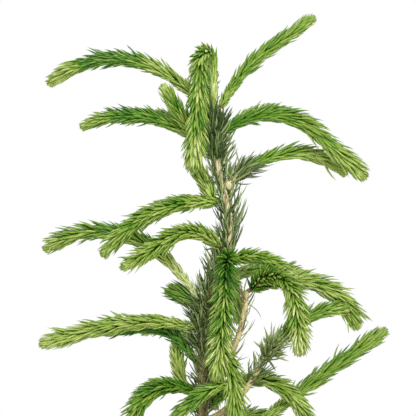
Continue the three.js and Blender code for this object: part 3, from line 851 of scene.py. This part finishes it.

# How the needles of some masses, and of one side shoot, differ from the plain ones. Some of their tones are
# painted light and shade, as noted at each.
DRESS = {
    # The leader's lighter foot is painted light on the rising stretch that its own hook shades.
    "shoot_leader_hook": {
        "lean": 46, "foot_lean": 15, "foot": 0.72, "foot_to": 0.5, "size": 0.9, "width": 1.12,
        "close": 1.15, "club": 0.26, "foot_tone": 1.9, "tone_to": 0.36, "spread": 0.7,
    },
    "shoot_top_right_high": {"lean": 37, "size": 1.1, "tone": -0.25, "spread": 0.3},
    "shoot_top_left_high": {"lean": 39, "size": 1.1, "tone": 0.2, "foot_tone": 0.85, "middle_tone": -1.3},
    "shoot_top_right_middle": {
        "lean": 36, "size": 1.22, "tone": 0.15, "foot_tone": -1, "tone_to": 0.7, "spread": 0.2,
    },
    # Its lighter middle is partly painted light, against the shadow of the shoot above it.
    "shoot_top_right_low": {
        "lean": 38, "size": 1.2, "foot_tone": -0.4, "middle_tone": 0.8, "spread": 0.2,
    },
    "shoot_top_left_short": {"tone": 0.1, "lean": 42, "foot_lean": 38, "spread": 0.75},
    "shoot_top_left_low": {"tone": -0.15, "foot_tone": 1.1, "middle_tone": -0.8, "spread": 0.3},
    "shoot_left_hook": {"foot": 1, "foot_tone": 0.6, "tone": 0.15, "tip_tone": 0.8},
    # The dark upper stretch of this hanging strand is painted shade.
    "shoot_front_high": {
        "foot": 0.45, "foot_to": 0.26, "lean": 57, "foot_lean": 62, "size": 0.74, "width": 0.9,
        "close": 1.35, "bend": 0.6, "tone": 0.4, "foot_tone": -1.6, "tone_to": 0.95, "spread": 0.8,
    },
    "shoot_right_upper": {
        "foot": 1, "foot_lean": 56, "lean": 48, "size": 0.82, "tone": 0.4, "foot_tone": -0.9,
        "tip_tone": 1.9, "spread": 0.5,
    },
    "shoot_left_long_arch": {"foot_tone": 3.4, "tone": -0.3, "foot_lean": 28},
    "shoot_left_short": {"foot": 0.9, "size": 1.1, "tone": -0.5},
    "shoot_left_long_low": {"lean": 41, "size": 1.08, "tone": 0.55, "tip_tone": 0.7, "spread": 0.25},
    # This shoot is darker partly as painted shade, for the shade under the shoots above it.
    "shoot_left_under": {"tone": -1.4, "foot": 0.7, "lean": 42, "foot_lean": 40},
    "shoot_left_riser": {"tone": 0.75, "foot_lean": 30},
    "shoot_right_droop": {
        "foot": 0.6, "foot_to": 0.4, "foot_tone": -1.6, "tone_to": 0.3, "tone": 0.5, "tip_tone": -0.3,
    },
    "shoot_right_straight": {
        "lean": 37, "size": 1.15, "club": 0.16, "tone": -0.25, "foot_tone": 1.1, "tip_tone": 0.7,
        "spread": 0.2,
    },
    "shoots_middle_left": {"foot": 0.8, "tip_tone": 0.6},
    "shoots_front_low": {"tone": 0.5, "tip_tone": -0.2},
    "shoots_left_low": {"tone": -0.45, "foot_tone": -0.7, "tip_tone": 1.1},
    "shoots_right_arch": {"lean": 42, "size": 1.24, "tone": 0.7, "tip_tone": 0},
    "right_hook": {
        "foot": 1, "foot_to": 0.3, "foot_lean": 60, "lean": 52, "size": 0.78, "close": 1.2, "bend": 0.7,
        "tone": 0.3, "foot_tone": -1.2, "tone_to": 0.4, "tip_tone": 1.3, "spread": 0.65,
    },
    "shoots_right_low": {"tone": -0.05, "foot_tone": 1.3, "tip_tone": 0.2},
}

# New spruce needles: smooth and faintly waxy. Each shade is a plain colour with a little mottling, which is
# coarser than on a real needle so that it shows.
# The deeper shades serve both for the needles' own deep green and for painted shade.
NEEDLE_SHADES = {
    "deepest": ("#1f5208", "#184404"),
    "deep": ("#2a5f0d", "#215107"),
    "dusky": ("#366d12", "#2d5e0c"),
    "dim": ("#407a14", "#356b0e"),
    "shaded": ("#52861d", "#467715"),
    "mellow": ("#669229", "#59831e"),
    "middle": ("#7a9d34", "#6c8f28"),
    "fresh": ("#8ca845", "#7e9a37"),
    "lively": ("#9bb253", "#8da445"),
    "light": ("#a9bc61", "#9caf53"),
    "bright": ("#b6c571", "#a9b863"),
    "straw": ("#c1cd85", "#b5c276"),
    "pale": ("#d0d89a", "#c4cd8c"),
}
SHADES_PER_TONE = 2.4
NEEDLE_MOTTLE = 6
NEEDLE_ROUGHNESS = 0.42
NEEDLE_GLOSS = 0.45


def clear_of_trunk(blades):
    """Which blades keep their middle and their point out of the trunk."""
    free = np.ones(len(blades["foot"]), bool)
    for part in (0.5, 1):
        point = blades["foot"] + blades["direction"] * (blades["length"] * part)[:, None]
        away = np.linalg.norm((point - trunk_centre(point[:, 2]))[:, :2], axis=1)
        free &= (away > trunk_radius(np.maximum(point[:, 2], 0)) + GAP) | (point[:, 2] > TRUNK_HEIGHT)
        free &= point[:, 2] > 0
    return free


def pick(blades, chosen):
    """Some of many blades."""
    return {key: value if key == "flat" else value[chosen] for key, value in blades.items()}


new_parts = []
for shoot in shoots:
    if shoot["old"]:
        continue
    length = shoot["length"]
    girth = shoot["girth"]
    dress = {**PLAIN_DRESS, **DRESS.get(shoot.get("dress", shoot["mass"]), {})}
    count = round(length * NEEDLES_PER_MM * dress["close"])
    share = lerp(NEEDLES_FROM / length, shoot["end"], even_places(count))
    share = np.concatenate([share, np.full(TIP_NEEDLES, shoot["end"])])
    count = len(share)
    is_tip = np.arange(count) >= count - TIP_NEEDLES
    angle = np.arange(count) * GOLDEN_ANGLE + rng.normal(0, NEEDLE_TURN_SPREAD, count)
    last = length - STEM_END_INSET
    near_tip = smoothstep(share * length, last - TIP_SHORTENED, last)
    at_foot = 1 - smoothstep(share, 0, dress["foot_to"])
    lean = lerp(dress["lean"], dress["foot_lean"], at_foot)
    lean = lerp(lean, TIP_LEAN, near_tip) + rng.normal(0, NEEDLE_LEAN_SPREAD, count)
    upward = outward(along_line(shoot["line"], share), angle)[:, 2]
    lean = lean - UNDER_LEAN * np.maximum(-upward, 0) - UPPER_LEAN * np.maximum(upward, 0)
    lean = lean + STRAY_LEAN * (rng.random(count) < STRAY_SHARE)
    lean = np.where(is_tip, TIP_NEEDLE_LEAN * np.sqrt(rng.random(count)), lean)
    size = girth * dress["size"] * lerp(1, dress["foot"], at_foot)
    size = size * lerp(1 - dress["club"], 1 + dress["club"], share)
    reach = TIP_REACH + TIP_ROUNDING * length * (shoot["end"] - share)
    room = reach * girth / np.cos(np.radians(np.minimum(lean, STEEPEST_LEAN)))
    full = np.where(is_tip, TIP_NEEDLE_LENGTH * girth, np.minimum(NEEDLE_LENGTH * size, room))
    radius = stem_radius(share) * np.where(is_tip, TIP_NEEDLE_SEAT, NEEDLE_SEAT)
    bend = np.where(is_tip, TIP_NEEDLE_BEND, NEEDLE_BEND * dress["bend"])
    needles = stand_out(shoot["line"], share, angle, radius, np.radians(lean))
    needles["length"] = full * rng.uniform(*NEEDLE_LENGTHS, count)
    needles["width"] = NEEDLE_WIDTH * dress["width"] * rng.uniform(*NEEDLE_WIDTHS, count)
    needles["bend"] = bend * rng.uniform(*NEEDLE_BENDS, count)
    needles["flat"] = NEEDLE_FLATNESS
    phase = rng.uniform(0, math.tau, 2)
    patch = np.sin(math.tau * share * length / PATCH_LENGTH + phase[0]) * np.cos(angle + phase[1])
    # Needles that point up are drawn darker: painted shade on the upper side of each shoot. The foot and
    # middle tones below are partly painted light and shade.
    tone = BODY_SHADE + dress["tone"] + shoot["tone"] - TOP_PAINTED_SHADE * needles["out"][:, 2]
    tone = tone + dress["foot_tone"] * (1 - smoothstep(share, 0, dress["tone_to"]))
    tone = tone + dress["middle_tone"] * np.sin(math.pi * share ** MIDDLE_SHIFT) ** MIDDLE_NARROWING
    tone = tone + dress["tip_tone"] * smoothstep(share, PALE_TIP_FROM, 1)
    needles["shade"] = tone + dress["spread"] * (patch + rng.normal(0, 1, count))
    new_parts.append(pick(needles, clear_of_trunk(needles)))
new_needles = join_blades(new_parts)
shade = np.clip(np.round(new_needles["shade"] * SHADES_PER_TONE), 0, len(NEEDLE_SHADES) - 1)
needle = blade_template(NEEDLE_SWELL)
mass_nodes = list(masses)
waxy = {}
for i, (name, (light, dark)) in enumerate(NEEDLE_SHADES.items()):
    waxy[name] = add_mottled_material(
        f"new_needle_{name}", light, dark, NEEDLE_MOTTLE, NEEDLE_ROUGHNESS, NEEDLE_GLOSS
    )
    of_shade = pick(new_needles, shade == i)
    add_blades(f"new_needles_{name}", needle, of_shade, waxy[name], mass_nodes)
    mass_nodes = []

# Needle feet
# The thick foot of each new needle, which clasps the stem inside the shoot. It is of the same soft leaf as
# the needle, drawn deeper green as painted shade, which darkens the gaps between the needles in the shoot.
FOOT_LENGTH = 0.7
FOOT_WIDTH = 1.35
FOOT_PAINTED_SHADES = ["deep", "dusky", "dim"]
FOOT_STEP = 2
DEEP_FEET_TO = 4

feet = dict(new_needles)
for key, part in {"length": FOOT_LENGTH, "width": FOOT_WIDTH, "bend": FOOT_LENGTH}.items():
    feet[key] = part * new_needles[key]
# Each foot takes a painted shade some steps deeper than its needle.
foot_painted_shade = np.clip((shade - DEEP_FEET_TO) // FOOT_STEP, 0, len(FOOT_PAINTED_SHADES) - 1)
plain_blade = blade_template([])
for i, name in enumerate(FOOT_PAINTED_SHADES):
    add_blades(f"painted_shade_needle_feet_{name}", plain_blade, pick(feet, foot_painted_shade == i), waxy[name])

# Old needles
# Last year's stiff needles, thinner and grey-green, which still stand on the leader and the stem and in one
# tuft at a bough's tip. A few on the tall side branch are dry and olive brown.
OLD_FLATNESS = 0.8
OLD_RUFFLE = 0.24
OLD_TURN_SPREAD = 0.3
OLD_SUNK = 0.4
BARE_EDGE = 0.87

# Sleeves of old needles on the trunk: from and to which height, how many, how long, how far they lean and
# bend, how wide and how light they are, and the heading on which they have fallen off
SLEEVES = {
    # This sleeve is drawn darker than the others, partly as painted shade among its close needles.
    "leader": {
        "from": 476, "to": 512, "per_mm": 8, "length": 25, "lean": 34, "bend": 0.42, "width": 2.3,
        "shade": 0.5,
    },
    "upper": {
        "from": 408, "to": 478, "per_mm": 2.5, "length": 29, "lean": 34, "bend": 0.36, "width": 1.8,
        "shade": 1.2, "bare": -84,
    },
    "middle": {
        "from": 336, "to": 408, "per_mm": 3.6, "length": 26, "lean": 32, "bend": 0.34, "width": 1.8,
        "shade": 1.1, "bare": -56,
    },
    "lower": {
        "from": 284, "to": 336, "per_mm": 5.5, "length": 23, "lean": 62, "bend": 0.28, "width": 1.7,
        "shade": 0.9,
    },
}
LOW_NEEDLES = {"bend": 0.1, "width": 1.5}
LOW_SLEEVES = [
    {"from": 256, "to": 284, "per_mm": 4, "length": 19, "lean": 30, "shade": 1.6, **LOW_NEEDLES},
    {"from": 120, "to": 256, "per_mm": 2.4, "length": 18, "lean": 58, "shade": 1, **LOW_NEEDLES},
]

# Old needles on the side branches, from a share of the branch to its tip, and the tuft with its paler end
BRANCH_NEEDLES = {
    "right_short": {
        "from": 0, "count": 76, "length": 24, "lean": 34, "bend": 0.34, "width": 1.8, "shade": 1.3,
    },
    "right_tall": {
        "from": 0.02, "count": 42, "length": 25, "lean": 44, "bend": 0.5, "width": 1.5, "shade": 2.3,
    },
    "right_low": {
        "from": 0.72, "count": 36, "length": 21, "lean": 38, "bend": 0.24, "width": 1.8, "shade": 1.2,
    },
}
TUFT = {
    "to": 0.6, "count": 120, "length": 23, "lean": 38, "bend": 0.16, "width": 2, "shade": 1.6,
    "tip_shade": 1.2,
}

# How far old needles differ from each other on the trunk and on the branches, and which shade is the palest
SLEEVE_SPREAD = {
    "lean": 11, "length": (0.75, 1.15), "width": (0.85, 1.15), "bend": 0.06, "shade": 1.1, "palest": 2,
}
BRANCH_SPREAD = {
    "lean": 12, "length": (0.7, 1.1), "width": (0.8, 1.1), "bend": 0.08, "shade": 0.7, "palest": 3,
}
TUFT_SPREAD = {**BRANCH_SPREAD, "palest": 2}

# Old spruce needles: harder and duller than new ones, dark to light grey-green, and olive brown when dry.
OLD_SHADES = {
    "dark": ("#42592a", "#35491d"),
    "grey": ("#6c8049", "#5d713c"),
    "light": ("#98a66c", "#8a985e"),
    "dry": ("#a59c66", "#8f8450"),
}
OLD_ROUGHNESS = 0.55


def old_needles_on(line, share, radius, plan, spreads):
    """Old needles at some shares of a limb's line, each turned a little off the even spread."""
    count = len(share)
    angle = np.arange(count) * GOLDEN_ANGLE + rng.normal(0, OLD_TURN_SPREAD, count)
    lean = np.radians(plan["lean"] + rng.normal(0, spreads["lean"], count))
    needles = stand_out(line, share, angle, radius, lean)
    along = needles["direction"] + rng.normal(0, OLD_RUFFLE, needles["direction"].shape)
    needles["direction"] = along / np.linalg.norm(along, axis=1, keepdims=True)
    needles["length"] = plan["length"] * rng.uniform(*spreads["length"], count)
    needles["width"] = plan["width"] * rng.uniform(*spreads["width"], count)
    needles["bend"] = plan["bend"] + rng.normal(0, spreads["bend"], count)
    needles["flat"] = OLD_FLATNESS
    paler = plan.get("tip_shade", 0) * np.arange(count) / count
    tone = rng.normal(plan["shade"], spreads["shade"], count) + paler
    needles["shade"] = np.minimum(tone, spreads["palest"])
    return needles


old_parts = []
for sleeve in [*SLEEVES.values(), *LOW_SLEEVES]:
    count = round((sleeve["to"] - sleeve["from"]) * sleeve["per_mm"])
    height = lerp(sleeve["from"], sleeve["to"], even_places(count))
    radius = trunk_radius(height) - OLD_SUNK
    needles = old_needles_on(trunk_line, height / TRUNK_HEIGHT, radius, sleeve, SLEEVE_SPREAD)
    if "bare" in sleeve:
        needles = pick(needles, needles["out"] @ direction(sleeve["bare"], 0) < BARE_EDGE)
    old_parts.append(needles)
for shoot in shoots:
    if shoot["old"]:
        share = lerp(0, TUFT["to"], even_places(TUFT["count"]))
        radius = np.full(TUFT["count"], STEM_TIP_RADIUS)
        old_parts.append(old_needles_on(shoot["line"], share, radius, TUFT, TUFT_SPREAD))
for name, plan in BRANCH_NEEDLES.items():
    share = lerp(plan["from"], 1, even_places(plan["count"]))
    radius = np.full(plan["count"], BOUGH_TIP_RADIUS)
    old_parts.append(old_needles_on(bough_lines[name], share, radius, plan, BRANCH_SPREAD))
old_needles = join_blades(old_parts)
shade = np.clip(np.round(old_needles["shade"]), 0, len(OLD_SHADES) - 1)
sleeve_nodes = [f"old_needles_{name}" for name in SLEEVES]
for i, (name, (light, dark)) in enumerate(OLD_SHADES.items()):
    dull = add_mottled_material(
        f"old_needle_{name}", light, dark, NEEDLE_MOTTLE, OLD_ROUGHNESS, NEEDLE_GLOSS
    )
    of_shade = pick(old_needles, shade == i)
    add_blades(f"old_needles_{name}", needle, of_shade, dull, sleeve_nodes)
    sleeve_nodes = []

# Floor
# A round sheet of pale studio paper, laid flat under the tree. It is wide enough to stay under it in the
# views from above.
FLOOR_RADIUS = 1.85
FLOOR_SIDES = 96

# Matt studio paper: uncoated and even, so it takes soft shadows and hardly shines.
FLOOR_COLOUR = "#ecebe7"
FLOOR_ROUGHNESS = 0.9
FLOOR_GLOSS = 0.5

paper, tree, shader = start_material("matt_studio_paper", FLOOR_ROUGHNESS, FLOOR_GLOSS)
shader.inputs["Base Color"].default_value = linear(FLOOR_COLOUR)
bm = bmesh.new()
bmesh.ops.create_circle(bm, cap_ends=True, segments=FLOOR_SIDES, radius=FLOOR_RADIUS)
floor_mesh = bpy.data.meshes.new("floor")
bm.to_mesh(floor_mesh)
bm.free()
floor_mesh.materials.append(paper)
floor = bpy.data.objects.new("floor", floor_mesh)
bpy.context.scene.collection.objects.link(floor)

# Light and camera
# Soft daylight from a white surround, with a broad key light in front, above and a little to the right, and
# a weaker fill light behind.
CAMERA_DISTANCE = 2.0
CAMERA_SIDE = 0.005
CAMERA_HEIGHT = 0.428
FRAME_WIDTH = 0.416
SENSOR_WIDTH = 36
SURROUND_COLOUR = "#f6ffe2"
SURROUND_STRENGTH = 0.56
BACKDROP_COLOUR = "#ffffff"
BACKDROP_STRENGTH = 1
LAMPS = {
    "key": {"place": (0.4, -2.4, 1.7), "power": 87},
    "fill": {"place": (-0.7, 2.4, 1.2), "power": 36},
}
LAMP_SIZE = 2.2
LAMP_COLOUR = "#f8f7ff"

world = bpy.data.worlds.new("white_surround")
bpy.context.scene.world = world
world.use_nodes = True
tree = world.node_tree
surround = tree.nodes["Background"]
surround.inputs["Color"].default_value = linear(SURROUND_COLOUR)
surround.inputs["Strength"].default_value = SURROUND_STRENGTH
backdrop = add_node(
    tree, "ShaderNodeBackground", {"Color": linear(BACKDROP_COLOUR), "Strength": BACKDROP_STRENGTH}, {}
)
seen = add_node(tree, "ShaderNodeLightPath", {}, {}).outputs["Is Camera Ray"]
mixed = add_node(
    tree,
    "ShaderNodeMixShader",
    {},
    {"Fac": seen, "Shader": surround.outputs["Background"], "Shader_001": backdrop.outputs["Background"]},
).outputs["Shader"]
tree.links.new(mixed, tree.nodes["World Output"].inputs["Surface"])

for name, plan in LAMPS.items():
    lamp = bpy.data.lights.new(name, "AREA")
    lamp.shape = "DISK"
    lamp.size = LAMP_SIZE
    lamp.energy = plan["power"]
    lamp.color = linear(LAMP_COLOUR)[:3]
    lamp_object = bpy.data.objects.new(name, lamp)
    lamp_object.location = plan["place"]
    aim = Vector((0, 0, CAMERA_HEIGHT)) - Vector(plan["place"])
    lamp_object.rotation_euler = aim.to_track_quat("-Z", "Y").to_euler()
    bpy.context.scene.collection.objects.link(lamp_object)

camera = bpy.data.cameras.new("camera")
camera.sensor_width = SENSOR_WIDTH
camera.lens = SENSOR_WIDTH * CAMERA_DISTANCE / FRAME_WIDTH
camera_object = bpy.data.objects.new("camera", camera)
camera_object.location = (CAMERA_SIDE, -CAMERA_DISTANCE, CAMERA_HEIGHT)
camera_object.rotation_euler = (math.pi / 2, 0, 0)
bpy.context.scene.collection.objects.link(camera_object)
bpy.context.scene.camera = camera_object
bpy.context.scene.view_settings.view_transform = "Standard"

bpy.context.view_layer.update()
